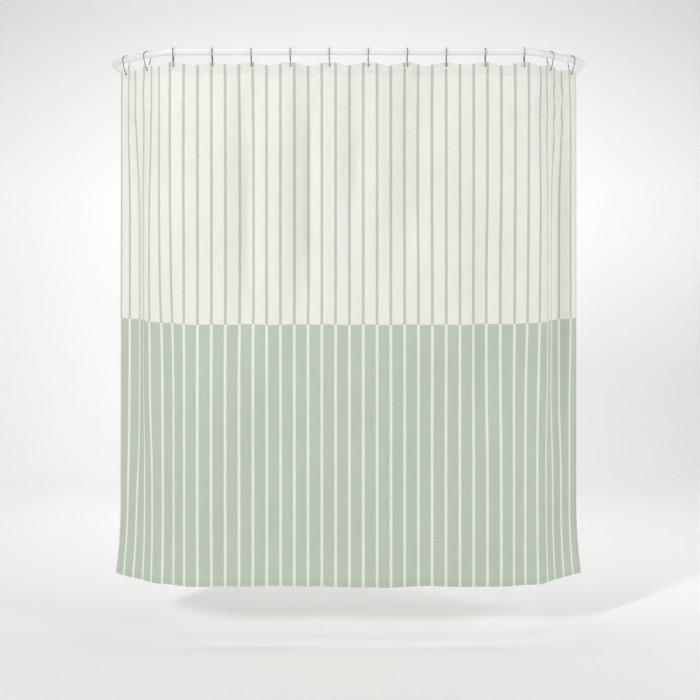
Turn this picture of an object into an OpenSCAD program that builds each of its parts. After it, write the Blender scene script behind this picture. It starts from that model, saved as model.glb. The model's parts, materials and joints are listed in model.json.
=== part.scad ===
// Shower curtain hung by wire rings from a wall-mounted bay rail.
// Millimetres. Origin on the wall plane, midway between the two wall flanges, on the rail's axis.
// +X runs along the rail's front, +Y points into the wall, +Z is up.

/* [Curtain] */
// Cut width of the curtain, side hem to side hem
curtain_w = 1829; // [1700:1:1900]
// Height of the curtain, top edge to bottom hem
curtain_h = 1829; // [1500:1:2100]
// Thickness of the fabric's solid
cloth_t = 1; // [0.6:0.1:1.2]
// How far the curtain's top edge hangs below the rail's axis
top_drop = 36.6; // [34:0.1:40]
// Number of rings, an even number
ring_count = 14; // [14:2:14]
// Distance between neighbouring buttonholes
ring_pitch = 136; // [134:0.5:137]
// Gap left on each side of a fold line
fold_gap = 2; // [1.5:0.1:3]

/* [Rail] */
// Outer diameter of the rail's tube
rail_d = 25; // [24.8:0.1:25]
// Wall thickness of the rail's tube
rail_wall = 1.5; // [1:0.1:2]
// Distance from the wall to the rail's front
rail_depth = 850; // [800:1:900]
// Distance from the middle to the point where the rail turns its first corner
corner_x = 645; // [640:1:650]
// Angle of the first corner
corner_turn = 47; // [45:0.5:50]
// Bend radius of the first corner
corner_bend = 80; // [75:1:84]
// Distance from the middle to each side arm
arm_x = 875; // [870:1:880]
// Bend radius of the second corner
arm_bend = 220; // [200:1:225]
// Distance from the wall to the joint between the bent tube and each arm
joint_y = 480; // [440:1:500]

/* [Rings] */
// Diameter of a ring's wire
wire_d = 2.8; // [2.4:0.1:2.8]
// Diameter of the spring arm's wire
arm_wire_d = 2.4; // [2:0.1:2.4]
// Radius of the wire's centreline over the rail
ring_top_r = 16.4; // [16.3:0.1:17]
// Radius of the wire's centreline at the bottom
ring_low_r = 4; // [3.8:0.1:4.2]
// Depth of the bottom bend's centre below the rail's axis
ring_low_z = 50; // [49:0.5:52]
// Share of the rear leg that is the spring arm
arm_share = 0.6; // [0.5:0.05:0.65]
// Widest opening angle of the spring arm
arm_open = 18; // [10:1:18]

/* [Wall flanges] */
// Diameter of a wall flange
flange_d = 64; // [60:1:70]
// Thickness of a wall flange
flange_t = 6; // [5:0.5:8]
// Diameter of the collar that holds the rail's end
collar_d = 32; // [30:0.5:34]
// Length of the collar in front of the flange
collar_l = 22; // [18:1:30]
// Distance between a flange's two screw holes
screw_pitch = 46; // [44:1:50]
// Diameter of the wall screws' holes
screw_hole_d = 5; // [4:0.5:6]

/* [Hidden] */
$fn = 64;
eps = 1;
front_y = -rail_depth;
rail_r = rail_d / 2;
bore_r = rail_r - rail_wall;

// The bent tube, measured along its right half from the first corner's apex
corner_tangent = corner_bend * tan(corner_turn / 2);
// A bend swells a little, so straight lengths are thinner than bends and run a little into them
bend_swell = 0.1;
bend_lap = 1;
arm_turn = 90 - corner_turn;
arm_tangent = arm_bend * tan(arm_turn / 2);
chord_l = (arm_x - corner_x) / cos(corner_turn);
arm_start_y = front_y + chord_l * sin(corner_turn) + arm_tangent;
socket_floor = 3;
socket_play = 0.05;
tube_end_gap = 0.2;

// The couplers inside the tube joints and their screws
coupler_l = 80;
coupler_play = 0.05;
coupler_wall = 1.5;
joint_screw_offset = 20;
joint_screw_r = 2;
joint_head_r = 3.4;
joint_head_h = 1.6;
hex_key_r = 1.3;
grub_r = 2.5;
grub_l = 3.6;

// Buttonholes: a slot with round ends, cut just above the ring's lowest bend
hole_l = 14;
hole_h = 5;
hole_play = 0.15;
hole_top = -(ring_low_z + ring_low_r - wire_d / 2 - hole_play);
notch_half = 7;
cloth_top = -top_drop;
first_row = 3;
last_row = ring_count - 2;

// Fold lines of a turned-back end, measured along the rail from the corner's apex
outer_ring_s = (ring_count / 2 - 1.5) * ring_pitch - corner_x;
end_ring_s = outer_ring_s + ring_pitch;
free_edge_s = curtain_w / 2 - corner_x;
fold_s = [0, outer_ring_s / 2, outer_ring_s, outer_ring_s + ring_pitch / 2, free_edge_s];

// Ring geometry in the plane square to the rail
wire_r = wire_d / 2;
wire_swell = 0.02;
wire_lap = 0.2;
ring_play = 0.15;
ring_top_z = rail_r + ring_play + wire_r - ring_top_r;
leg_lean = asin((ring_top_r - ring_low_r) / (ring_low_z + ring_top_z));
leg_l = (ring_low_z + ring_top_z) * cos(leg_lean);
pivot_s = 4;
catch_s = leg_l * arm_share;
pivot_ball_r = 1.6;
pivot_play = 0.15;
pivot_shell_r = 2.3;
slot_play = 0.25;
tip_ball_r = 1.6;
catch_play = 0.3;
catch_mouth_play = 0.2;
catch_shell_r = 2.5;
gate_half = arm_wire_d / 2 + 0.15;

rail_white = [0.95, 0.95, 0.94];
dark_chrome = [0.42, 0.42, 0.42];
cream = [0.94, 0.93, 0.90];
steel = [0.72, 0.73, 0.75];

// Draws its children and their mirror image across the middle.
module both_sides() {
    children();
    mirror([1, 0, 0]) children();
}

// Draws its children as they are on the right, or mirrored on the left.
module on_side(side) {
    if (side == "left") mirror([1, 0, 0]) children();
    else children();
}

// Moves to a distance along the right end's straight stretch, turned to follow it.
module on_chord(s) {
    translate([corner_x, front_y, 0])
        rotate([0, 0, corner_turn])
            translate([s, 0, 0])
                children();
}

// Moves to ring n, counted from the left.
module at_ring(n) {
    u = (n - (ring_count + 1) / 2) * ring_pitch;
    if (abs(u) < corner_x) translate([u, front_y, 0]) children();
    else if (u > 0) on_chord(u - corner_x) children();
    else mirror([1, 0, 0]) on_chord(-u - corner_x) children();
}

// A solid rod of radius r along the bent tube's centreline, running extra past both ends.
module bent_rod(r, extra) {
    straight_r = r - bend_swell;
    front_half = corner_x - corner_tangent + bend_lap;
    side_l = chord_l - corner_tangent - arm_tangent + 2 * bend_lap;
    tail_l = -joint_y - arm_start_y + bend_lap + extra;
    translate([-front_half, front_y, 0])
        rotate([0, 90, 0])
            cylinder(r = straight_r, h = 2 * front_half);
    both_sides() {
        translate([corner_x - corner_tangent, front_y + corner_bend, 0])
            rotate([0, 0, -90])
                rotate_extrude(angle = corner_turn)
                    translate([corner_bend, 0]) circle(r = r);
        on_chord(corner_tangent - bend_lap)
            rotate([0, 90, 0])
                cylinder(r = straight_r, h = side_l);
        translate([arm_x - arm_bend, arm_start_y, 0])
            rotate([0, 0, -arm_turn])
                rotate_extrude(angle = arm_turn)
                    translate([arm_bend, 0]) circle(r = r);
        translate([arm_x, arm_start_y - bend_lap, 0])
            rotate([-90, 0, 0])
                cylinder(r = straight_r, h = tail_l);
    }
}

// A hole for a joint screw, on the underside of the tube at distance y from the wall.
module under_hole(y, r, depth) {
    translate([arm_x, -y, -rail_r - eps]) cylinder(r = r, h = depth + eps);
}

module rail_centre() {
    color(rail_white)
        difference() {
            bent_rod(rail_r, 0);
            bent_rod(bore_r, eps);
            both_sides() under_hole(joint_y + joint_screw_offset, joint_screw_r, rail_wall + eps);
        }
}

module rail_arm(side) {
    color(rail_white)
        on_side(side)
            difference() {
                translate([arm_x, -joint_y, 0])
                    rotate([-90, 0, 0])
                        cylinder(r = rail_r, h = joint_y - socket_floor - tube_end_gap);
                translate([arm_x, -joint_y - eps, 0])
                    rotate([-90, 0, 0])
                        cylinder(r = bore_r, h = joint_y + 2 * eps);
                under_hole(joint_y - joint_screw_offset, joint_screw_r, rail_wall + eps);
            }
}

module coupler(side) {
    sleeve_r = bore_r - bend_swell - coupler_play;
    color(steel)
        on_side(side)
            difference() {
                translate([arm_x, -joint_y - coupler_l / 2, 0])
                    rotate([-90, 0, 0])
                        cylinder(r = sleeve_r, h = coupler_l);
                translate([arm_x, -joint_y - coupler_l / 2 - eps, 0])
                    rotate([-90, 0, 0])
                        cylinder(r = sleeve_r - coupler_wall, h = coupler_l + 2 * eps);
                for (d = [-joint_screw_offset, joint_screw_offset])
                    under_hole(joint_y + d, joint_screw_r, rail_wall + coupler_wall + 2 * eps);
            }
}

module coupler_screws() {
    shank_l = rail_wall + coupler_wall + joint_head_h;
    color(steel)
        both_sides()
            for (d = [-joint_screw_offset, joint_screw_offset])
                translate([arm_x, -joint_y - d, -rail_r - joint_head_h])
                    difference() {
                        union() {
                            cylinder(r = joint_head_r, h = joint_head_h);
                            cylinder(r = joint_screw_r, h = shank_l);
                        }
                        translate([0, 0, -eps])
                            cylinder(r = hex_key_r, h = joint_head_h + eps, $fn = 6);
                    }
}

module wall_flange(side) {
    color(rail_white)
        on_side(side)
            translate([arm_x, 0, 0])
                difference() {
                    rotate([90, 0, 0]) {
                        cylinder(d = flange_d, h = flange_t);
                        cylinder(d = collar_d, h = flange_t + collar_l);
                    }
                    translate([0, -socket_floor, 0])
                        rotate([90, 0, 0])
                            cylinder(r = rail_r + socket_play, h = flange_t + collar_l);
                    for (z = [-screw_pitch / 2, screw_pitch / 2])
                        translate([0, eps, z])
                            rotate([90, 0, 0])
                                cylinder(d = screw_hole_d, h = flange_t + 2 * eps);
                    translate([0, -flange_t - collar_l / 2, -collar_d])
                        cylinder(r = grub_r, h = collar_d);
                }
}

module flange_grub_screws() {
    color(steel)
        both_sides()
            translate([arm_x, -flange_t - collar_l / 2, -rail_r - socket_play - grub_l])
                difference() {
                    cylinder(r = grub_r, h = grub_l);
                    translate([0, 0, -eps])
                        cylinder(r = hex_key_r, h = grub_l / 2 + eps, $fn = 6);
                }
}

// A buttonhole through a panel that lies along X, centred on x = 0.
module buttonhole() {
    straight = hole_l - hole_h;
    translate([0, cloth_t, hole_top - hole_h / 2])
        rotate([90, 0, 0]) {
            translate([-straight / 2, -hole_h / 2, 0]) cube([straight, hole_h, 2 * cloth_t]);
            for (x = [-straight / 2, straight / 2])
                translate([x, 0, 0]) cylinder(d = hole_h, h = 2 * cloth_t);
        }
}

// A flat panel of fabric along X, from x = a to x = b.
module panel(a, b) {
    translate([a, -cloth_t / 2, cloth_top - curtain_h]) cube([b - a, cloth_t, curtain_h]);
}

module curtain_front() {
    color(cream)
        difference() {
            translate([0, front_y, 0]) panel(-corner_x + fold_gap, corner_x - fold_gap);
            for (n = [first_row : last_row]) at_ring(n) buttonhole();
        }
}

// Panel i of a turned-back end, counted from the corner to the free edge.
module end_fold(side, i) {
    last = len(fold_s) - 1;
    outer_gap = i == last ? 0 : fold_gap;
    color(cream)
        on_side(side)
            difference() {
                on_chord(0) panel(fold_s[i - 1] + fold_gap, fold_s[i] - outer_gap);
                on_chord(outer_ring_s)
                    translate([-notch_half, -cloth_t, hole_top - hole_h])
                        cube([2 * notch_half, 2 * cloth_t, hole_h - hole_top]);
                on_chord(end_ring_s) buttonhole();
            }
}

// A bent piece of wire in the plane square to the rail. Angles run from +Y towards +Z.
module wire_bend(z, bend_r, from, sweep) {
    translate([0, 0, z])
        rotate([90, 0, 90])
            rotate([0, 0, from])
                rotate_extrude(angle = sweep)
                    translate([bend_r, 0]) circle(r = wire_r);
}

// Moves to the foot of the rear leg, with +Z along the leg and +Y away from the ring.
module on_rear_leg(s) {
    translate([0, ring_low_r * cos(leg_lean), -ring_low_z - ring_low_r * sin(leg_lean)])
        rotate([-leg_lean, 0, 0])
            translate([0, 0, s])
                children();
}

// A straight length of the ring's wire along the rear leg, from s = a to s = b.
module leg_wire(a, b) {
    on_rear_leg(a - wire_lap) cylinder(r = wire_r - wire_swell, h = b - a + 2 * wire_lap);
}

// The hollow shells of a ring's pivot and catch, cut out of its wire.
module arm_seats() {
    mouth_l = 3 * catch_shell_r;
    slot_r = arm_wire_d / 2 + slot_play;
    on_rear_leg(pivot_s) sphere(r = pivot_ball_r + pivot_play);
    for (turn = [0, arm_open / 2, arm_open])
        on_rear_leg(pivot_s)
            rotate([turn, 0, 0])
                cylinder(r = slot_r, h = 2 * pivot_shell_r);
    on_rear_leg(catch_s) sphere(r = tip_ball_r + catch_play);
    on_rear_leg(catch_s - mouth_l) cylinder(r = slot_r, h = mouth_l);
    on_rear_leg(catch_s)
        rotate([90, 0, 0])
            cylinder(r = tip_ball_r + catch_mouth_play, h = mouth_l);
    // The gate that the arm's wire swings out through, below the mouth
    on_rear_leg(catch_s)
        translate([-gate_half, -mouth_l, -mouth_l])
            cube([2 * gate_half, mouth_l, mouth_l]);
}

// The fixed wire of a ring: over the rail, down the front leg and round the bottom bend.
module ring_wire() {
    color(dark_chrome)
        difference() {
            union() {
                wire_bend(ring_top_z, ring_top_r, -leg_lean, 180 + 2 * leg_lean);
                wire_bend(-ring_low_z, ring_low_r, 180 + leg_lean, 180 - 2 * leg_lean);
                mirror([0, 1, 0]) leg_wire(0, leg_l);
                leg_wire(0, pivot_s);
                leg_wire(catch_s, leg_l);
                on_rear_leg(pivot_s) sphere(r = pivot_shell_r);
                on_rear_leg(catch_s) sphere(r = catch_shell_r);
            }
            arm_seats();
        }
}

// The spring arm of a ring, with the ball it turns on and the ball that snaps into the catch.
module ring_arm() {
    color(dark_chrome)
        on_rear_leg(pivot_s) {
            sphere(r = pivot_ball_r);
            cylinder(d = arm_wire_d, h = catch_s - pivot_s);
            translate([0, 0, catch_s - pivot_s]) sphere(r = tip_ball_r);
        }
}

// The name of ring n's node.
function ring_name(n) = str("ring_", n < 10 ? "0" : "", n);

rail_centre();
rail_arm("left");  // rail_left_arm
rail_arm("right");  // rail_right_arm
coupler("left");  // left_coupler
coupler("right");  // right_coupler
coupler_screws();
wall_flange("left");  // left_wall_flange
wall_flange("right");  // right_wall_flange
flange_grub_screws();
curtain_front();
for (side = ["left", "right"], i = [1 : 4])
    end_fold(side, i);
for (n = [1 : ring_count])
    at_ring(n) ring_wire();
for (n = [1 : ring_count])
    at_ring(n) ring_arm();
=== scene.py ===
"""Looks of a shower curtain: one woven cloth hung from wire rings on a white bay rail."""

import json
import math

import bpy
import numpy as np
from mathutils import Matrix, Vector


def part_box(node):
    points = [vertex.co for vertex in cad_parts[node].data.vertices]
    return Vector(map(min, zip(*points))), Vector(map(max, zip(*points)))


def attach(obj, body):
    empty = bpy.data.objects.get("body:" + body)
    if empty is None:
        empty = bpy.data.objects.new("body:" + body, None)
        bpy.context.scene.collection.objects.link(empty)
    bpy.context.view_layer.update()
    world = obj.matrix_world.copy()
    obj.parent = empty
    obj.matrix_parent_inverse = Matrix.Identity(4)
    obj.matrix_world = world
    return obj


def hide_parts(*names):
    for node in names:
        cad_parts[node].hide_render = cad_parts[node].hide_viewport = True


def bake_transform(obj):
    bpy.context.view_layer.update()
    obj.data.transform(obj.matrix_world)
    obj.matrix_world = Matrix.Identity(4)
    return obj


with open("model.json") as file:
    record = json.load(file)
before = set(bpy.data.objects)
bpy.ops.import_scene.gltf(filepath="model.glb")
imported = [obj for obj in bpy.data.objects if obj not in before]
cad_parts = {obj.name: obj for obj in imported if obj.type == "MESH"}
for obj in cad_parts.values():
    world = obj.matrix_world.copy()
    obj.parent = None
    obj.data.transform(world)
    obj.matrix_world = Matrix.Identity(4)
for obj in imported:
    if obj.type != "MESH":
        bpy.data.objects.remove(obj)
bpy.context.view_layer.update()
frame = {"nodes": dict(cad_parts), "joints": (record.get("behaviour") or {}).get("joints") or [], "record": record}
joints = {j["name"]: j for j in frame["joints"]}

# ---------------------------------------------------------------- measures, from the frame

MM = 0.001
front_low, front_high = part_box("curtain_front")
FRONT_Y = (front_low.y + front_high.y) / 2
TOP_Z = front_high.z
DROP = front_high.z - front_low.z
APEX = Vector(joints["right_draw"]["pos_m"])
PLEAT = Vector(joints["right_pleat_2"]["pos_m"])
CHORD = (PLEAT - APEX).normalized()
TURN = math.atan2(CHORD.y, CHORD.x)
FREE_S = (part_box("right_fold_4")[1].x - APEX.x) / CHORD.x
HALF = APEX.x + FREE_S
FOLD_S = [(Vector(joints[name]["pos_m"]) - APEX).length
          for name in ("right_draw", "right_pleat_1", "right_valley", "right_pleat_2")]
RING_COUNT = sum(1 for name in frame["nodes"] if name.startswith("ring_")) // 2
FIRST_S = (Vector(joints["ring_13_turn"]["pos_m"]) - APEX).length
END_S = (Vector(joints["ring_14_turn"]["pos_m"]) - APEX).length
RING_PITCH = END_S - FIRST_S
RING_U = [(n - (RING_COUNT - 1) / 2) * RING_PITCH for n in range(RING_COUNT)]

# The cloth: u runs along its width from its middle, v down from its top edge.
CLOTH_T = 0.6 * MM
HEM_T = 0.6 * MM
HEADER = 38 * MM
HEM = 24 * MM
SIDE_HEM = 12 * MM
HOLE_L = 14 * MM
HOLE_H = 5.35 * MM
HOLE_V = 15.5 * MM
TOP_CORNER_R = 60 * MM
HEM_CORNER_R = 200 * MM

STRIPES = 38
STRIPE_PITCH = 2 * HALF / STRIPES
STRIPE_W = 9.5 * MM
FIRST_STRIPE = 2.5 * MM

# On the cloth's reverse, v in its UV map is raised by this much, so that its material can tell.
REVERSE = 10.0

# How far the flat patch round a buttonhole reaches past its ends.
PATCH_MARGIN = 1.5 * MM

# ---------------------------------------------------------------- material helpers


def new_material(name, roughness, **sockets):
    """A Principled material, and its node tree and shader."""
    mat = bpy.data.materials.new(name)
    mat.use_nodes = True
    tree = mat.node_tree
    shader = tree.nodes["Principled BSDF"]
    shader.inputs["Roughness"].default_value = roughness
    for key, value in sockets.items():
        shader.inputs[key.replace("_", " ")].default_value = value
    return mat, tree, shader


def node(tree, kind, **settings):
    """A new node. Settings named in_... go to its inputs, and the rest are its properties."""
    made = tree.nodes.new(kind)
    for key, value in settings.items():
        if key.startswith("in_"):
            made.inputs[int(key[3:])].default_value = value
        else:
            setattr(made, key, value)
    return made


def maths(tree, operation, a, b=None, c=None, clamp=False):
    """The output of a Math node, whose inputs are sockets or numbers."""
    made = tree.nodes.new("ShaderNodeMath")
    made.operation = operation
    made.use_clamp = clamp
    for slot, value in zip(made.inputs, (a, b, c)):
        if value is None:
            continue
        if isinstance(value, (int, float)):
            slot.default_value = value
        else:
            tree.links.new(value, slot)
    return made.outputs[0]


def mixed(tree, factor, a, b, blend="MIX"):
    """The colour output of a Mix node."""
    made = tree.nodes.new("ShaderNodeMix")
    made.data_type = "RGBA"
    made.blend_type = blend
    for slot, value in ((made.inputs[0], factor), (made.inputs[6], a), (made.inputs[7], b)):
        if isinstance(value, (int, float, tuple)):
            slot.default_value = value
        else:
            tree.links.new(value, slot)
    return made.outputs[2]


def ramp(tree, socket, low, high, out_low=0.0, out_high=1.0):
    """A socket's value taken from one range to another, clamped."""
    made = tree.nodes.new("ShaderNodeMapRange")
    made.inputs[1].default_value = low
    made.inputs[2].default_value = high
    made.inputs[3].default_value = out_low
    made.inputs[4].default_value = out_high
    tree.links.new(socket, made.inputs[0])
    return made.outputs[0]


def noise(tree, vector, scale, detail=3.0, stretch=None):
    """Noise over a vector socket, stretched along it if asked."""
    if stretch is not None:
        mapping = tree.nodes.new("ShaderNodeMapping")
        mapping.inputs["Scale"].default_value = stretch
        tree.links.new(vector, mapping.inputs[0])
        vector = mapping.outputs[0]
    made = tree.nodes.new("ShaderNodeTexNoise")
    made.inputs["Scale"].default_value = scale
    made.inputs["Detail"].default_value = detail
    tree.links.new(vector, made.inputs["Vector"])
    return made.outputs["Fac"]


def bumped(tree, shader, height, strength, distance):
    """Joins a height to the shader as bump."""
    made = tree.nodes.new("ShaderNodeBump")
    made.inputs["Strength"].default_value = strength
    made.inputs["Distance"].default_value = distance
    tree.links.new(height, made.inputs["Height"])
    tree.links.new(made.outputs[0], shader.inputs["Normal"])


CREAM = (0.855, 0.855, 0.80, 1)
SAGE_LINE = (0.56, 0.575, 0.51, 1)
SAGE = (0.522, 0.588, 0.496, 1)
PALE_LINE = (0.81, 0.87, 0.76, 1)
UNPRINTED = (0.84, 0.845, 0.81, 1)
THREAD_LOW = (0.70, 0.70, 0.63, 1)
THREAD_HIGH = (0.86, 0.86, 0.79, 1)
WIRE_LOW = (0.20, 0.195, 0.19, 1)
WIRE_HIGH = (0.34, 0.335, 0.325, 1)
PAINT_LOW = (0.84, 0.84, 0.83, 1)
PAINT_HIGH = (0.90, 0.90, 0.89, 1)
ZINC_LOW = (0.50, 0.50, 0.51, 1)
ZINC_HIGH = (0.66, 0.66, 0.67, 1)
ALUMINIUM_LOW = (0.60, 0.61, 0.62, 1)
ALUMINIUM_HIGH = (0.74, 0.75, 0.76, 1)

WEAVE_PITCH = 0.0009  # metres between threads
WANDER = 0.0006  # how far a stripe's edge strays
PRINT_EDGE = 0.0005  # half the width of a stripe's soft edge
HEM_EDGE = 0.0015  # width of the fade at a hem's edge
SHOW_THROUGH = 0.42  # how much paler the print is on the reverse
# Painted shade on the double hems, standing in for the light they let through less.
HEM_PAINTED_SHADE = 0.045
SIDE_HEM_PAINTED_SHADE = 0.05


def cloth_material():
    """Plain woven polyester with printed stripes. Its UV map is the flat cloth in metres."""
    mat, tree, shader = new_material("curtain_weave", 0.82)
    shader.inputs["Sheen Weight"].default_value = 0.25
    shader.inputs["Sheen Roughness"].default_value = 0.45
    shader.inputs["Specular IOR Level"].default_value = 0.3
    uv = node(tree, "ShaderNodeUVMap", uv_map="flat")
    split = node(tree, "ShaderNodeSeparateXYZ")
    tree.links.new(uv.outputs[0], split.inputs[0])
    u = split.outputs[0]
    v = maths(tree, "FLOORED_MODULO", split.outputs[1], REVERSE)
    reverse = maths(tree, "GREATER_THAN", split.outputs[1], REVERSE / 2)

    # Threads wander a little, which softens the stripes' edges.
    wander = noise(tree, uv.outputs[0], 90.0, 2.0, (1.0, 0.25, 1.0))
    shift = ramp(tree, wander, 0.0, 1.0, -WANDER, WANDER)
    strayed = maths(tree, "ADD", u, shift)
    across = maths(tree, "ADD", strayed, HALF - FIRST_STRIPE + STRIPE_PITCH / 2)
    place = maths(tree, "FLOORED_MODULO", across, STRIPE_PITCH)
    off = maths(tree, "ABSOLUTE", maths(tree, "SUBTRACT", place, STRIPE_PITCH / 2))
    stripe = ramp(tree, off, STRIPE_W / 2 + PRINT_EDGE, STRIPE_W / 2 - PRINT_EDGE)
    lower = ramp(tree, v, DROP / 2 - WANDER, DROP / 2 + WANDER)

    upper_colour = mixed(tree, stripe, CREAM, SAGE_LINE)
    lower_colour = mixed(tree, stripe, SAGE, PALE_LINE)
    printed = mixed(tree, lower, upper_colour, lower_colour)
    # The print shows through paler on the reverse.
    paler = maths(tree, "MULTIPLY", reverse, SHOW_THROUGH)
    printed = mixed(tree, paler, printed, UNPRINTED)

    # Slubs run along the threads, both ways, and the print takes unevenly.
    warp = noise(tree, uv.outputs[0], 300.0, 3.0, (1.0, 0.03, 1.0))
    weft = noise(tree, uv.outputs[0], 300.0, 3.0, (0.03, 1.0, 1.0))
    slubs = maths(tree, "ADD", warp, weft)
    cloud = noise(tree, uv.outputs[0], 3.5, 4.0)
    tone = maths(tree, "ADD", ramp(tree, slubs, 0.7, 1.3, 0.955, 1.035),
                 ramp(tree, cloud, 0.3, 0.7, -0.02, 0.02))
    # Hems, folded over double, let less light through; painted shade makes them a touch darker, side hems most.
    header = ramp(tree, v, HEADER, HEADER + HEM_EDGE, 1.0, 0.0)
    foot = ramp(tree, v, DROP - HEM - HEM_EDGE, DROP - HEM)
    side_start = HALF - SIDE_HEM
    side = ramp(tree, maths(tree, "ABSOLUTE", u), side_start - HEM_EDGE, side_start)
    double = maths(tree, "MAXIMUM", maths(tree, "MAXIMUM", header, foot), side)
    tone = maths(tree, "SUBTRACT", tone, maths(tree, "MULTIPLY", double, HEM_PAINTED_SHADE))
    tone = maths(tree, "SUBTRACT", tone, maths(tree, "MULTIPLY", side, SIDE_HEM_PAINTED_SHADE))
    grey = node(tree, "ShaderNodeCombineColor")
    for slot in grey.inputs:
        tree.links.new(tone, slot)
    colour = mixed(tree, 1.0, printed, grey.outputs[0], "MULTIPLY")
    tree.links.new(colour, shader.inputs["Base Color"])

    # Plain weave: two sets of rounded threads, over and under each other.
    over_u = maths(tree, "SINE", maths(tree, "MULTIPLY", u, 2 * math.pi / WEAVE_PITCH))
    over_v = maths(tree, "SINE", maths(tree, "MULTIPLY", v, 2 * math.pi / WEAVE_PITCH))
    weave = maths(tree, "MULTIPLY", over_u, over_v)
    height = maths(tree, "ADD", maths(tree, "MULTIPLY", weave, 0.25), slubs)
    bumped(tree, shader, height, 0.35, 0.0004)
    tree.links.new(ramp(tree, slubs, 0.6, 1.4, 0.74, 0.9), shader.inputs["Roughness"])
    return mat


def thread_material():
    """Sewing thread, a little shinier than the cloth, in the cream of its top."""
    mat, tree, shader = new_material("sewing_thread", 0.6)
    shader.inputs["Sheen Weight"].default_value = 0.3
    place = node(tree, "ShaderNodeTexCoord").outputs["Object"]
    twist = noise(tree, place, 900.0, 2.0)
    tree.links.new(mixed(tree, twist, THREAD_LOW, THREAD_HIGH), shader.inputs["Base Color"])
    bumped(tree, shader, twist, 0.4, 0.0003)
    return mat


def wire_material():
    """Dark chromed wire, drawn lengthwise, with fine scratches where it rubs."""
    mat, tree, shader = new_material("ring_wire_chrome", 0.22, Metallic=1.0)
    place = node(tree, "ShaderNodeTexCoord").outputs["Object"]
    marks = noise(tree, place, 420.0, 4.0, (1.0, 1.0, 0.12))
    tree.links.new(mixed(tree, marks, WIRE_LOW, WIRE_HIGH), shader.inputs["Base Color"])
    tree.links.new(ramp(tree, marks, 0.3, 0.75, 0.16, 0.36), shader.inputs["Roughness"])
    bumped(tree, shader, marks, 0.12, 0.0003)
    return mat


def paint_material():
    """White powder coat with a fine orange peel, a little duller where rings have rubbed."""
    mat, tree, shader = new_material("rail_powder_coat", 0.32)
    shader.inputs["Coat Weight"].default_value = 0.25
    shader.inputs["Coat Roughness"].default_value = 0.2
    place = node(tree, "ShaderNodeTexCoord").outputs["Object"]
    peel = noise(tree, place, 260.0, 2.0)
    rubs = noise(tree, place, 35.0, 5.0)
    tree.links.new(mixed(tree, rubs, PAINT_LOW, PAINT_HIGH), shader.inputs["Base Color"])
    tree.links.new(ramp(tree, rubs, 0.3, 0.7, 0.26, 0.42), shader.inputs["Roughness"])
    bumped(tree, shader, peel, 0.10, 0.0004)
    return mat


def metal_material(name, low, high, roughness):
    """Plain turned or plated metal."""
    mat, tree, shader = new_material(name, roughness, Metallic=1.0)
    place = node(tree, "ShaderNodeTexCoord").outputs["Object"]
    marks = noise(tree, place, 500.0, 3.0, (0.2, 1.0, 1.0))
    tree.links.new(mixed(tree, marks, low, high), shader.inputs["Base Color"])
    tree.links.new(ramp(tree, marks, 0.3, 0.7, roughness - 0.08, roughness + 0.1),
                   shader.inputs["Roughness"])
    bumped(tree, shader, marks, 0.15, 0.0003)
    return mat


CLOTH = cloth_material()
THREAD = thread_material()
FINISHES = {
    "rail_paint": paint_material(),
    "ring_metal": wire_material(),
    "screw_steel": metal_material("zinc_plate", ZINC_LOW, ZINC_HIGH, 0.34),
    "sleeve_metal": metal_material("mill_aluminium", ALUMINIUM_LOW, ALUMINIUM_HIGH, 0.4),
}
for part in frame["record"]["subparts"]:
    if part["material_slot"] in FINISHES:
        for each in frame["nodes"][part["node"]].material_slots:
            each.material = FINISHES[part["material_slot"]]

# ---------------------------------------------------------------- the cloth's path in plan

LAST_FRONT_U = RING_U[RING_COUNT - 3]
FIRST_CHORD_U = RING_U[RING_COUNT - 2]


# Share of the drop over which the corners open out.
OPENING_SHARE = 0.7


def path(u, v):
    """Plan position and outward normal of the cloth, whose corners open out towards the hem."""
    side = np.sign(u)
    a = np.abs(u)
    down = np.clip(v / (OPENING_SHARE * DROP), 0, 1)
    radius = TOP_CORNER_R + (HEM_CORNER_R - TOP_CORNER_R) * down * down * (3 - 2 * down)
    tangent = radius * math.tan(TURN / 2)
    # The length that the round corner saves is taken up evenly around it.
    saved = 2 * tangent - radius * TURN
    first = np.minimum(LAST_FRONT_U + HOLE_L, APEX.x - tangent)
    last = np.maximum(FIRST_CHORD_U, APEX.x + tangent)
    along = a - saved * np.clip((a - first) / (last - first), 0, 1)
    start = APEX.x - tangent
    t = np.clip((along - start) / radius, 0, TURN)
    past = np.maximum(along - start - radius * TURN, 0)
    x = np.minimum(along, start) + radius * np.sin(t) + past * math.cos(TURN)
    y = radius * (1 - np.cos(t)) + past * math.sin(TURN)
    normal = np.stack([side * np.sin(t), -np.cos(t)], axis=-1)
    return np.stack([side * x, FRONT_Y + y], axis=-1), normal


# ---------------------------------------------------------------- the cloth's folds

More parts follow.
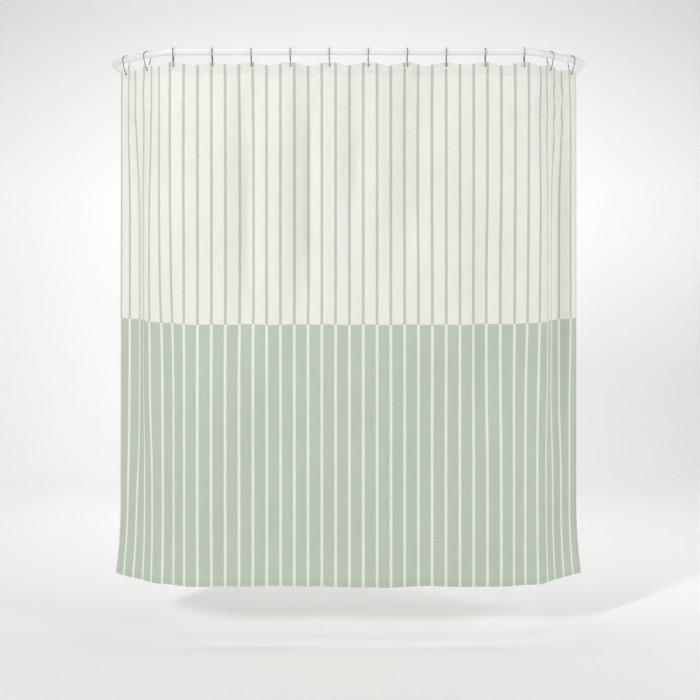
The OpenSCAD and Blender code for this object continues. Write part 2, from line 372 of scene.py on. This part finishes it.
# Soft standing folds: place across, half width, top, bottom and depth, all in metres.
FOLDS = [
    (-0.735, 0.044, 0.34, 1.30, 0.011),
    (-0.825, 0.042, 0.34, 1.45, -0.014),
    (-0.575, 0.046, 0.10, 0.60, 0.011),
    (-0.354, 0.058, 0.18, 0.94, -0.052),
    (-0.300, 0.046, 0.25, 0.80, 0.014),
    (-0.139, 0.054, 0.10, 0.84, -0.054),
    (-0.085, 0.052, 0.10, 0.70, 0.010),
    (0.020, 0.041, 0.12, 0.56, -0.034),
    (0.100, 0.046, 0.08, 0.60, 0.016),
    (0.240, 0.062, 0.06, 0.62, -0.049),
    (0.350, 0.063, 0.10, 0.80, 0.008),
    (0.495, 0.057, 0.58, 1.26, -0.042),
    (0.560, 0.046, 0.05, 0.50, 0.013),
    (0.705, 0.044, 0.36, 1.22, 0.010),
    (0.800, 0.042, 0.34, 1.32, -0.015),
    (0.870, 0.030, 0.06, 1.10, 0.007),
    (-0.640, 0.057, 0.90, 1.90, -0.016),
    (-0.480, 0.069, 0.95, 1.70, 0.014),
    (-0.250, 0.093, 1.10, 1.90, -0.023),
    (0.120, 0.115, 1.00, 1.90, 0.018),
    (0.300, 0.081, 1.15, 1.90, -0.016),
    (0.620, 0.057, 1.00, 1.90, -0.014),
]

# Small creases: place across and down, length, half width, lean and depth.
CREASES = [
    (0.570, 0.150, 0.060, 0.018, 0.28, 0.0041),
    (0.780, 0.060, 0.060, 0.016, 0.72, 0.0045),
    (0.815, 0.100, 0.055, 0.018, -0.56, 0.0048),
    (0.770, 0.150, 0.055, 0.018, 0.68, 0.0045),
    (0.825, 0.205, 0.060, 0.019, -0.48, 0.0040),
    (0.775, 0.265, 0.070, 0.021, 0.40, 0.0032),
    (0.690, 0.090, 0.070, 0.018, 0.40, 0.0029),
    (0.720, 0.180, 0.070, 0.019, -0.32, 0.0024),
    (-0.560, 0.110, 0.060, 0.016, -0.40, 0.0032),
    (-0.760, 0.120, 0.080, 0.018, 0.40, 0.0041),
    (-0.830, 0.190, 0.080, 0.019, -0.36, 0.0041),
    (-0.150, 0.090, 0.050, 0.016, 0.48, 0.0023),
    (0.070, 0.100, 0.050, 0.016, -0.44, 0.0023),
    (0.330, 0.085, 0.060, 0.016, 0.40, 0.0028),
]
PUCKER = 0.9 * MM
PUCKER_REACH = 0.016

# Slow waves down the whole cloth: depth, length across, phase, sway, sway's rate and its start.
WAVES = [
    (0.0035, 0.31, 0.9, 0.5, 2.1, 0.0),
    (0.0022, 0.173, 2.0, 0.8, 1.3, 1.0),
    (0.0030, 0.62, 4.0, 0.0, 0.0, 0.0),
]
WAVES_AT_TOP = 0.25

# Bows of the spans between rings: depth, half width and how far down they reach.
BOW_DEPTH = 0.007
BOW_WIDTH = 0.040
BOW_REACH = 0.30

SAG = 0.011
FREE_CORNER_SAG = 0.35
FREE_CORNER_RUN = 0.02
KICK = 0.012
KICK_HEIGHT = 0.26
SPLAY = 0.007
RIDE_UP = 0.012
RIDE_UP_HEIGHT = 0.35
RIDE_UP_START = 0.52
RIDE_UP_RUN = 0.3
RING_REACH_U = 0.020
RING_REACH_V = 0.05


def bell(x, centre, width):
    """1 at the centre, fading to 0 either side of it."""
    return np.exp(-((x - centre) / width) ** 2)


def window(v, top, bottom, soft=0.19):
    """1 between top and bottom, fading smoothly outside them."""
    rise = 1 / (1 + np.exp(-(v - top) / (soft / 3)))
    fall = 1 / (1 + np.exp((v - bottom) / (soft / 3)))
    return rise * fall


def ring_gap(u):
    """How far each place is beyond the flat patch round the nearest buttonhole."""
    gap = np.min(np.abs(u[..., None] - np.array(RING_U)), axis=-1)
    return np.maximum(gap - HOLE_L / 2 - PATCH_MARGIN, 0)


def near_ring(u, v):
    """1 at each buttonhole, fading to 0 away from it."""
    below = np.maximum(v - HOLE_V - HOLE_H, 0)
    return np.exp(-(ring_gap(u) / RING_REACH_U) ** 2) * np.exp(-(below / RING_REACH_V) ** 2)


def draped(u, v):
    """The cloth's points for flat places u and v, as it hangs."""
    plan, normal = path(u, v)
    widest = (RING_PITCH - HOLE_L) / 2 - PATCH_MARGIN
    between = np.sin(math.pi / 2 * np.clip(ring_gap(u) / widest, 0, 1)) ** 2
    # Beyond the last ring the free corner drops only a little.
    corner = FREE_CORNER_SAG * np.clip(ring_gap(u) / FREE_CORNER_RUN, 0, 1)
    between = np.where(np.abs(u) > RING_U[-1], corner, between)
    out = np.zeros_like(u)
    for place, width, top, bottom, depth in FOLDS:
        out += depth * bell(u, place, width) * window(v, top, bottom)
    for place, low, length, width, lean, depth in CREASES:
        reach = (v - low) / length
        out += depth * bell(u, place + lean * (v - low), width) * np.exp(-reach * reach)
    # The header and hem pucker along their stitching.
    for line in (HEADER, DROP - HEM):
        ripple = np.sin(2 * math.pi * u / 0.031 + 2.4 * np.sin(u / 0.11)) * np.cos(u / 0.067)
        out += PUCKER * ripple * np.exp(-np.abs(v - line) / PUCKER_REACH)
    # Each span bows in or out below the header, and the bows melt together lower down.
    for n in range(RING_COUNT - 1):
        middle = (RING_U[n] + RING_U[n + 1]) / 2
        bow = BOW_DEPTH * math.sin(2.3 * n + 0.8)
        out += bow * bell(u, middle, BOW_WIDTH) * np.exp(-v / BOW_REACH)
    # The waves grow towards the hem.
    grow = WAVES_AT_TOP + (1 - WAVES_AT_TOP) * np.clip(v / DROP, 0, 1)
    for depth, length, phase, sway, rate, start in WAVES:
        out += grow * depth * np.sin(2 * math.pi * u / length + phase
                                     + sway * np.sin(rate * v + start))
    # The corners of the hem kick out.
    kick = np.clip((v - (DROP - KICK_HEIGHT)) / KICK_HEIGHT, 0, 1) ** 2
    end = np.clip((np.abs(u) - APEX.x) / FREE_S, 0, 1)
    out += KICK * kick * end
    out *= 1 - near_ring(u, v)
    # The sag between rings fades down the cloth, fast at first and then slowly.
    sag = SAG * between * (0.35 + 0.65 * np.exp(-v / 0.35)) * np.exp(-v / 0.9)
    # The middle of a turned-back end rides up a little.
    turned = np.clip((np.abs(u) - RIDE_UP_START) / RIDE_UP_RUN, 0, 1)
    lift = RIDE_UP * bell(v, DROP / 2, RIDE_UP_HEIGHT) * turned
    z = TOP_Z - v - sag + lift
    x = plan[..., 0] + normal[..., 0] * out
    y = plan[..., 1] + normal[..., 1] * out
    # The turned-back ends splay sideways at the hem.
    splay = SPLAY * kick * end * np.sign(u)
    return np.stack([x + splay, y, z], axis=-1)


# ---------------------------------------------------------------- the cloth's mesh

SPLIT_S = [-0.022, (FOLD_S[0] + FOLD_S[1]) / 2, (FOLD_S[1] + FOLD_S[2]) / 2,
           (FOLD_S[2] + FOLD_S[3]) / 2]
SPLITS = [APEX.x + s for s in SPLIT_S]

GRID_U = 7 * MM
GRID_V = 11 * MM
GRID_CLEAR = 2.4 * MM
EDGE_STEP = 1.0 * MM
HEM_STEP = 0.6 * MM
EDGE_SHARE = 0.45
TINY = 1e-6


def grid_lines(low, high, step, keep, clear):
    """Even lines from low to high, with keep's lines in place of any nearer than clear to them."""
    keep = np.array(sorted(keep))
    even = np.linspace(low, high, int(round((high - low) / step)) + 1)
    far = np.min(np.abs(even[:, None] - keep[None, :]), axis=1) > clear
    return np.unique(np.round(np.concatenate([even[far], keep]), 6))


def width_lines():
    """The mesh's lines across the cloth's width."""
    keep = [-HALF, HALF, -HALF + SIDE_HEM, HALF - SIDE_HEM, -HALF + EDGE_STEP, HALF - EDGE_STEP]
    keep += [-HALF + SIDE_HEM + HEM_STEP, HALF - SIDE_HEM - HEM_STEP]
    for split in SPLITS:
        keep += [-split, split]
    for ring in RING_U:
        keep += [ring + d * HOLE_L for d in (-0.85, -0.5, -0.25, 0, 0.25, 0.5, 0.85)]
    return grid_lines(-HALF, HALF, GRID_U, keep, GRID_CLEAR)


def drop_lines():
    """The mesh's lines down the cloth's drop."""
    keep = [0, EDGE_STEP, HOLE_V, HOLE_V + HOLE_H / 2, HOLE_V + HOLE_H, HEADER, HEADER + HEM_STEP,
            HEADER - 3 * MM, DROP - HEM, DROP - HEM - HEM_STEP, DROP - EDGE_STEP, DROP]
    return grid_lines(0, DROP, GRID_V, keep, GRID_CLEAR)


def unit(a):
    """Vectors scaled to a length of 1."""
    return a / np.maximum(np.linalg.norm(a, axis=-1, keepdims=True), 1e-12)


US = width_lines()
VS = drop_lines()
U, V = np.meshgrid(US, VS, indexing="ij")
MID = draped(U, V)
ALONG = np.gradient(MID, US, axis=0)
DOWN = np.gradient(MID, VS, axis=1)
OUT = unit(np.cross(DOWN, ALONG))


def surface(u, v, lift=0.0):
    """Points on the finished cloth at scattered flat places, raised towards the outside."""
    i = np.clip(np.searchsorted(US, u) - 1, 0, len(US) - 2)
    j = np.clip(np.searchsorted(VS, v) - 1, 0, len(VS) - 2)
    a = ((u - US[i]) / (US[i + 1] - US[i]))[:, None]
    b = ((v - VS[j]) / (VS[j + 1] - VS[j]))[:, None]

    def bilinear(f):
        return ((1 - a) * (1 - b) * f[i, j] + a * (1 - b) * f[i + 1, j]
                + (1 - a) * b * f[i, j + 1] + a * b * f[i + 1, j + 1])

    return bilinear(MID) + bilinear(OUT) * lift


def hem_share():
    """1 where the cloth is folded over double, 0 elsewhere."""
    across = (V <= HEADER + TINY) | (V >= DROP - HEM - TINY)
    down = np.abs(U) >= HALF - SIDE_HEM - TINY
    return (across | down).astype(float)


def edge_round():
    """Thins the cloth right at its folded edges, so that they read as round."""
    edge = (U <= -HALF + TINY) | (U >= HALF - TINY) | (V <= TINY) | (V >= DROP - TINY)
    return np.where(edge, EDGE_SHARE, 1.0)


DOUBLE = hem_share()
ROUND = edge_round()
FRONT_FACE = MID + OUT * (CLOTH_T / 2 * ROUND)[..., None]
BACK_FACE = MID - OUT * ((CLOTH_T / 2 + HEM_T * DOUBLE) * ROUND)[..., None]
in_hole_u = np.zeros(len(US) - 1, bool)
centre_u = (US[1:] + US[:-1]) / 2
for ring in RING_U:
    in_hole_u |= np.abs(centre_u - ring) < HOLE_L / 2
centre_v = (VS[1:] + VS[:-1]) / 2
in_hole_v = (centre_v > HOLE_V) & (centre_v < HOLE_V + HOLE_H)
HOLE = in_hole_u[:, None] & in_hole_v[None, :]


def cloth_piece(name, first, last):
    """The cloth between two grid columns as a closed thin mesh, with the flat cloth as its UVs."""
    columns = np.arange(first, last + 1)
    rows = len(VS)
    wide = len(columns)
    count = wide * rows
    points = np.concatenate([face[columns].reshape(-1, 3) for face in (FRONT_FACE, BACK_FACE)])
    normals = np.concatenate([face[columns].reshape(-1, 3) for face in (OUT, -OUT)])
    solid = ~HOLE[first:last]

    def at(i, j, back):
        return i * rows + j + (count if back else 0)

    faces, is_reverse = [], []
    for i in range(wide - 1):
        for j in range(rows - 1):
            if not solid[i, j]:
                continue
            a, b, c, d = at(i, j, 0), at(i, j + 1, 0), at(i + 1, j + 1, 0), at(i + 1, j, 0)
            faces.append((a, b, c, d))
            faces.append((d + count, c + count, b + count, a + count))
            is_reverse += [0, 1]
            sides = [((i, j), (i, j + 1), i == 0 or not solid[i - 1, j]),
                     ((i, j + 1), (i + 1, j + 1), j == rows - 2 or not solid[i, j + 1]),
                     ((i + 1, j + 1), (i + 1, j), i == wide - 2 or not solid[i + 1, j]),
                     ((i + 1, j), (i, j), j == 0 or not solid[i, j - 1])]
            for p, q, bare in sides:
                if bare:
                    faces.append((at(*q, 0), at(*p, 0), at(*p, 1), at(*q, 1)))
                    is_reverse.append(0)
    mesh = bpy.data.meshes.new(name)
    mesh.from_pydata(points.tolist(), [], faces)
    mesh.update()
    flat = np.stack([U[columns], V[columns]], axis=-1).reshape(-1, 2)
    flat = np.concatenate([flat, flat])
    loops = np.zeros(len(mesh.loops), np.int32)
    mesh.loops.foreach_get("vertex_index", loops)
    flat = flat[loops]
    flat[:, 1] += REVERSE * np.repeat(is_reverse, 4)
    layer = mesh.uv_layers.new(name="flat")
    layer.data.foreach_set("uv", flat.astype(np.float32).ravel())
    mesh.polygons.foreach_set("use_smooth", np.ones(len(mesh.polygons), bool))
    used = np.zeros(len(points), bool)
    used[loops] = True
    mesh.normals_split_custom_set_from_vertices([tuple(n) for n in normals])
    mesh.materials.append(CLOTH)
    piece = bpy.data.objects.new(name, mesh)
    bpy.context.scene.collection.objects.link(piece)
    # Corner points inside a buttonhole belong to no face.
    if not used.all():
        drop_loose(piece)
    return piece


def drop_loose(piece):
    """Deletes a mesh's points that no face uses."""
    bpy.ops.object.select_all(action="DESELECT")
    bpy.context.view_layer.objects.active = piece
    piece.select_set(True)
    bpy.ops.object.mode_set(mode="EDIT")
    bpy.ops.mesh.select_all(action="SELECT")
    bpy.ops.mesh.delete_loose(use_verts=True, use_edges=True, use_faces=False)
    bpy.ops.object.mode_set(mode="OBJECT")
    piece.select_set(False)


# ---------------------------------------------------------------- stitches and buttonholes

STITCH_L = 3.2 * MM
STITCH_PITCH = 4.4 * MM
STITCH_R = 0.32 * MM
STITCH_INSET = 2 * MM
STITCH_CLEAR = 4 * MM
RIM_R = 0.7 * MM
RIM_OUT = 0.7 * MM
RIM_TURN_STEPS = 8
RIM_SIDE_STEPS = 10


def tube(points, radii, sides, closed):
    """Vertices and faces of a tube along points, with a radius at each."""
    points = np.asarray(points, float)
    n = len(points)
    if closed:
        tangent = unit(np.roll(points, -1, 0) - np.roll(points, 1, 0))
    else:
        tangent = unit(np.gradient(points, axis=0))
    guide = np.array([0.31, 0.87, 0.39])
    first = unit(np.cross(tangent, guide))
    second = np.cross(tangent, first)
    turn = np.arange(sides) * 2 * math.pi / sides
    ring = (first[:, None] * np.cos(turn)[None, :, None]
            + second[:, None] * np.sin(turn)[None, :, None])
    verts = (points[:, None] + ring * np.asarray(radii)[:, None, None]).reshape(-1, 3)
    faces = []
    for i in range(n if closed else n - 1):
        k = (i + 1) % n
        for j in range(sides):
            m = (j + 1) % sides
            faces.append((i * sides + j, i * sides + m, k * sides + m, k * sides + j))
    if not closed:
        faces.append(tuple(range(sides))[::-1])
        faces.append(tuple((n - 1) * sides + j for j in range(sides)))
    return verts, faces


def stitch_rows():
    """The ends of every stitch as flat places: header, bottom hem and side hems."""
    found = []
    across = np.arange(-HALF + STITCH_CLEAR, HALF - STITCH_CLEAR, STITCH_PITCH)
    for v in (HEADER - STITCH_INSET, DROP - HEM + STITCH_INSET):
        found += [((u, v), (u + STITCH_L, v)) for u in across]
    down = np.arange(HEADER + STITCH_CLEAR, DROP - HEM - STITCH_CLEAR, STITCH_PITCH)
    for u in (-HALF + SIDE_HEM - STITCH_INSET, HALF - SIDE_HEM + STITCH_INSET):
        found += [((u, v), (u, v + STITCH_L)) for v in down]
    return found


def stitch_points(a, b):
    """A stitch as three points that rise out of the cloth and dip back in."""
    share = np.array([0.0, 0.5, 1.0])
    u = a[0] + (b[0] - a[0]) * share
    v = a[1] + (b[1] - a[1]) * share
    rise = CLOTH_T / 2 + np.array([-0.15, 0.12, -0.15]) * MM
    points = surface(u, v)
    outward = surface(u, v, 1.0) - points
    return points + outward * rise[:, None]


def rim_points(ring):
    """The wrapped edge of a buttonhole, as points round its slot with ends half round."""
    straight = HOLE_L / 2 - HOLE_H / 2
    radius = HOLE_H / 2 + RIM_OUT
    u, v = [], []
    for side, start in ((1, 0.0), (-1, math.pi)):
        for k in range(-RIM_TURN_STEPS, RIM_TURN_STEPS + 1):
            turn = start + math.pi / 2 * k / RIM_TURN_STEPS
            u.append(side * straight + radius * math.cos(turn))
            v.append(radius * math.sin(turn))
        for k in range(1, RIM_SIDE_STEPS):
            u.append(side * (straight - 2 * straight * k / RIM_SIDE_STEPS))
            v.append(side * radius)
    return surface(ring + np.array(u), HOLE_V + HOLE_H / 2 + np.array(v))


def sewing_piece(name, low, high):
    """All stitches and buttonhole edges between two places across the cloth, as one mesh."""
    verts, faces, base = [], [], 0
    for a, b in stitch_rows():
        if low <= (a[0] + b[0]) / 2 < high:
            v, f = tube(stitch_points(a, b), [STITCH_R * 0.6, STITCH_R, STITCH_R * 0.6], 5, False)
            verts.append(v)
            faces += [tuple(i + base for i in face) for face in f]
            base += len(v)
    for ring in RING_U:
        if low <= ring < high:
            points = rim_points(ring)
            radii = [RIM_R * (1.0 if k % 2 else 0.82) for k in range(len(points))]
            v, f = tube(points, radii, 8, True)
            verts.append(v)
            faces += [tuple(i + base for i in face) for face in f]
            base += len(v)
    mesh = bpy.data.meshes.new(name)
    mesh.from_pydata(np.concatenate(verts).tolist(), [], faces)
    mesh.update()
    mesh.polygons.foreach_set("use_smooth", np.ones(len(mesh.polygons), bool))
    mesh.materials.append(THREAD)
    piece = bpy.data.objects.new(name, mesh)
    bpy.context.scene.collection.objects.link(piece)
    return piece


# ---------------------------------------------------------------- pieces and bodies


def column(u):
    """The grid column nearest a place across the cloth."""
    return int(np.argmin(np.abs(US - u)))


# Each stretch's name, its fold line, and the bodies before and after that line.
PARTS = [
    ("corner", 0, "frame", "fold_1"),
    ("pleat_1", 1, "fold_1", "fold_2"),
    ("valley", 2, "fold_2", "fold_3"),
    ("pleat_2", 3, "fold_3", "fold_4"),
]


def hang_front():
    """The still front of the cloth, and its sewing."""
    cloth = cloth_piece("curtain_cloth_front", column(-SPLITS[0]), column(SPLITS[0]))
    sewing = sewing_piece("curtain_sewing_front", -SPLITS[0], SPLITS[0])
    for piece in (cloth, sewing):
        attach(piece, "frame")
    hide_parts("curtain_front")


def hang_end(side_name, side):
    """The four stretches of cloth at a turned-back end, each round one fold line, and their sewing."""
    edges = SPLITS + [HALF]
    for label, i, body_a, body_b in PARTS:
        low, high = sorted((side * edges[i], side * edges[i + 1]))
        name = f"{side_name}_{label}"
        cloth = cloth_piece(f"curtain_cloth_{name}", column(low), column(high))
        sewing = sewing_piece(f"curtain_sewing_{name}", low, high if high < HALF else HALF + 1)
        for piece in (cloth, sewing):
            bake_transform(piece)
        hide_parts(f"{side_name}_fold_{i + 1}")


hang_front()
hang_end("left", -1)
hang_end("right", 1)

# ---------------------------------------------------------------- floor, backdrop, light, camera

FLOOR_BELOW_HEM = 0.186
FLOOR_Z = front_low.z - FLOOR_BELOW_HEM
PAPER_HALF_W = 14.0
PAPER_FRONT_Y = -9.0
PAPER_H = 7.0
BACK_Y = 3.2
BEND = 1.4
BEND_STEPS = 12
PAPER_LOW = (0.87, 0.87, 0.86, 1)
PAPER_HIGH_PAINTED_SHADE = (0.75, 0.75, 0.745, 1)


def backdrop():
    """A pale floor that curves up into a pale wall behind, painted darker towards its top as painted shade."""
    line = [(PAPER_FRONT_Y, 0.0)]
    for k in range(BEND_STEPS + 1):
        turn = math.pi / 2 * k / BEND_STEPS
        line.append((BACK_Y - BEND + BEND * math.sin(turn), BEND * (1 - math.cos(turn))))
    line.append((BACK_Y, PAPER_H))
    verts = [(x, y, FLOOR_Z + z) for y, z in line for x in (-PAPER_HALF_W, PAPER_HALF_W)]
    faces = [(2 * i, 2 * i + 1, 2 * i + 3, 2 * i + 2) for i in range(len(line) - 1)]
    mesh = bpy.data.meshes.new("backdrop")
    mesh.from_pydata(verts, [], faces)
    mesh.polygons.foreach_set("use_smooth", np.ones(len(mesh.polygons), bool))
    mat, tree, shader = new_material("studio_paper", 0.9)
    split = node(tree, "ShaderNodeSeparateXYZ")
    tree.links.new(node(tree, "ShaderNodeTexCoord").outputs["Object"], split.inputs[0])
    # Painted shade: the paper is painted darker the higher it rises, for the light that falls off towards its top.
    shade = ramp(tree, split.outputs[2], -0.3, 0.9)
    tree.links.new(mixed(tree, shade, PAPER_LOW, PAPER_HIGH_PAINTED_SHADE), shader.inputs["Base Color"])
    mesh.materials.append(mat)
    made = bpy.data.objects.new("backdrop", mesh)
    bpy.context.scene.collection.objects.link(made)


def area_light(name, place, aim, size, power):
    """A rectangular light at a place, turned towards its aim."""
    light = bpy.data.lights.new(name, "AREA")
    light.shape = "RECTANGLE"
    light.size, light.size_y = size
    light.energy = power
    made = bpy.data.objects.new(name, light)
    bpy.context.scene.collection.objects.link(made)
    made.location = place
    made.rotation_mode = "QUATERNION"
    made.rotation_quaternion = (Vector(aim) - Vector(place)).to_track_quat("-Z", "Y")


ROOM_LIGHT = 0.28
SEEN_WALL = 0.80


def lights():
    """Soft studio light, mostly from the camera's left, and a pale surround."""
    middle = (0, FRONT_Y, (front_low.z + front_high.z) / 2)
    area_light("key", (-3.55, -5.2, 1.2), middle, (0.5, 1.1), 176)
    area_light("fill", (4.5, -3.2, 0.6), middle, (1.2, 1.8), 80)
    # From just behind the front's plane, so that it reaches only the right turned-back end.
    right_end = (HALF - 0.2, FRONT_Y + 0.12, -0.9)
    area_light("side", (3.2, FRONT_Y + 0.22, -0.7), right_end, (0.5, 1.6), 10)
    area_light("top", (0, -1.1, 2.6), (0, -0.8, 0), (2.6, 1.2), 28)
    area_light("back_wall", (0, 0.2, 0.7), (0, BACK_Y, -1.6), (5.0, 0.6), 60)
    world = bpy.data.worlds.new("studio")
    bpy.context.scene.world = world
    world.use_nodes = True
    tree = world.node_tree
    background = tree.nodes["Background"]
    background.inputs[0].default_value = (1.0, 1.0, 1.0, 1)
    # Past the paper's edges the camera sees a pale wall, brighter than the room's own light.
    seen = node(tree, "ShaderNodeLightPath").outputs["Is Camera Ray"]
    tree.links.new(ramp(tree, seen, 0, 1, ROOM_LIGHT, SEEN_WALL), background.inputs[1])


EYE_X = 0.0045
EYE_Z = -0.691
EYE_BACK = 4.2
VIEW_W = 2.441
SHIFT_Y = -0.143
SENSOR = 36.0


def camera():
    """The photograph's view: level, square to the front and a little above its middle."""
    cam = bpy.data.cameras.new("camera")
    cam.sensor_width = SENSOR
    cam.lens = SENSOR * EYE_BACK / VIEW_W
    cam.shift_y = SHIFT_Y
    cam.clip_end = 60
    made = bpy.data.objects.new("camera", cam)
    bpy.context.scene.collection.objects.link(made)
    made.location = (EYE_X, FRONT_Y - EYE_BACK, EYE_Z)
    made.rotation_euler = (math.radians(90), 0, 0)
    bpy.context.scene.camera = made


backdrop()
lights()
camera()
bpy.context.scene.view_settings.view_transform = "Standard"
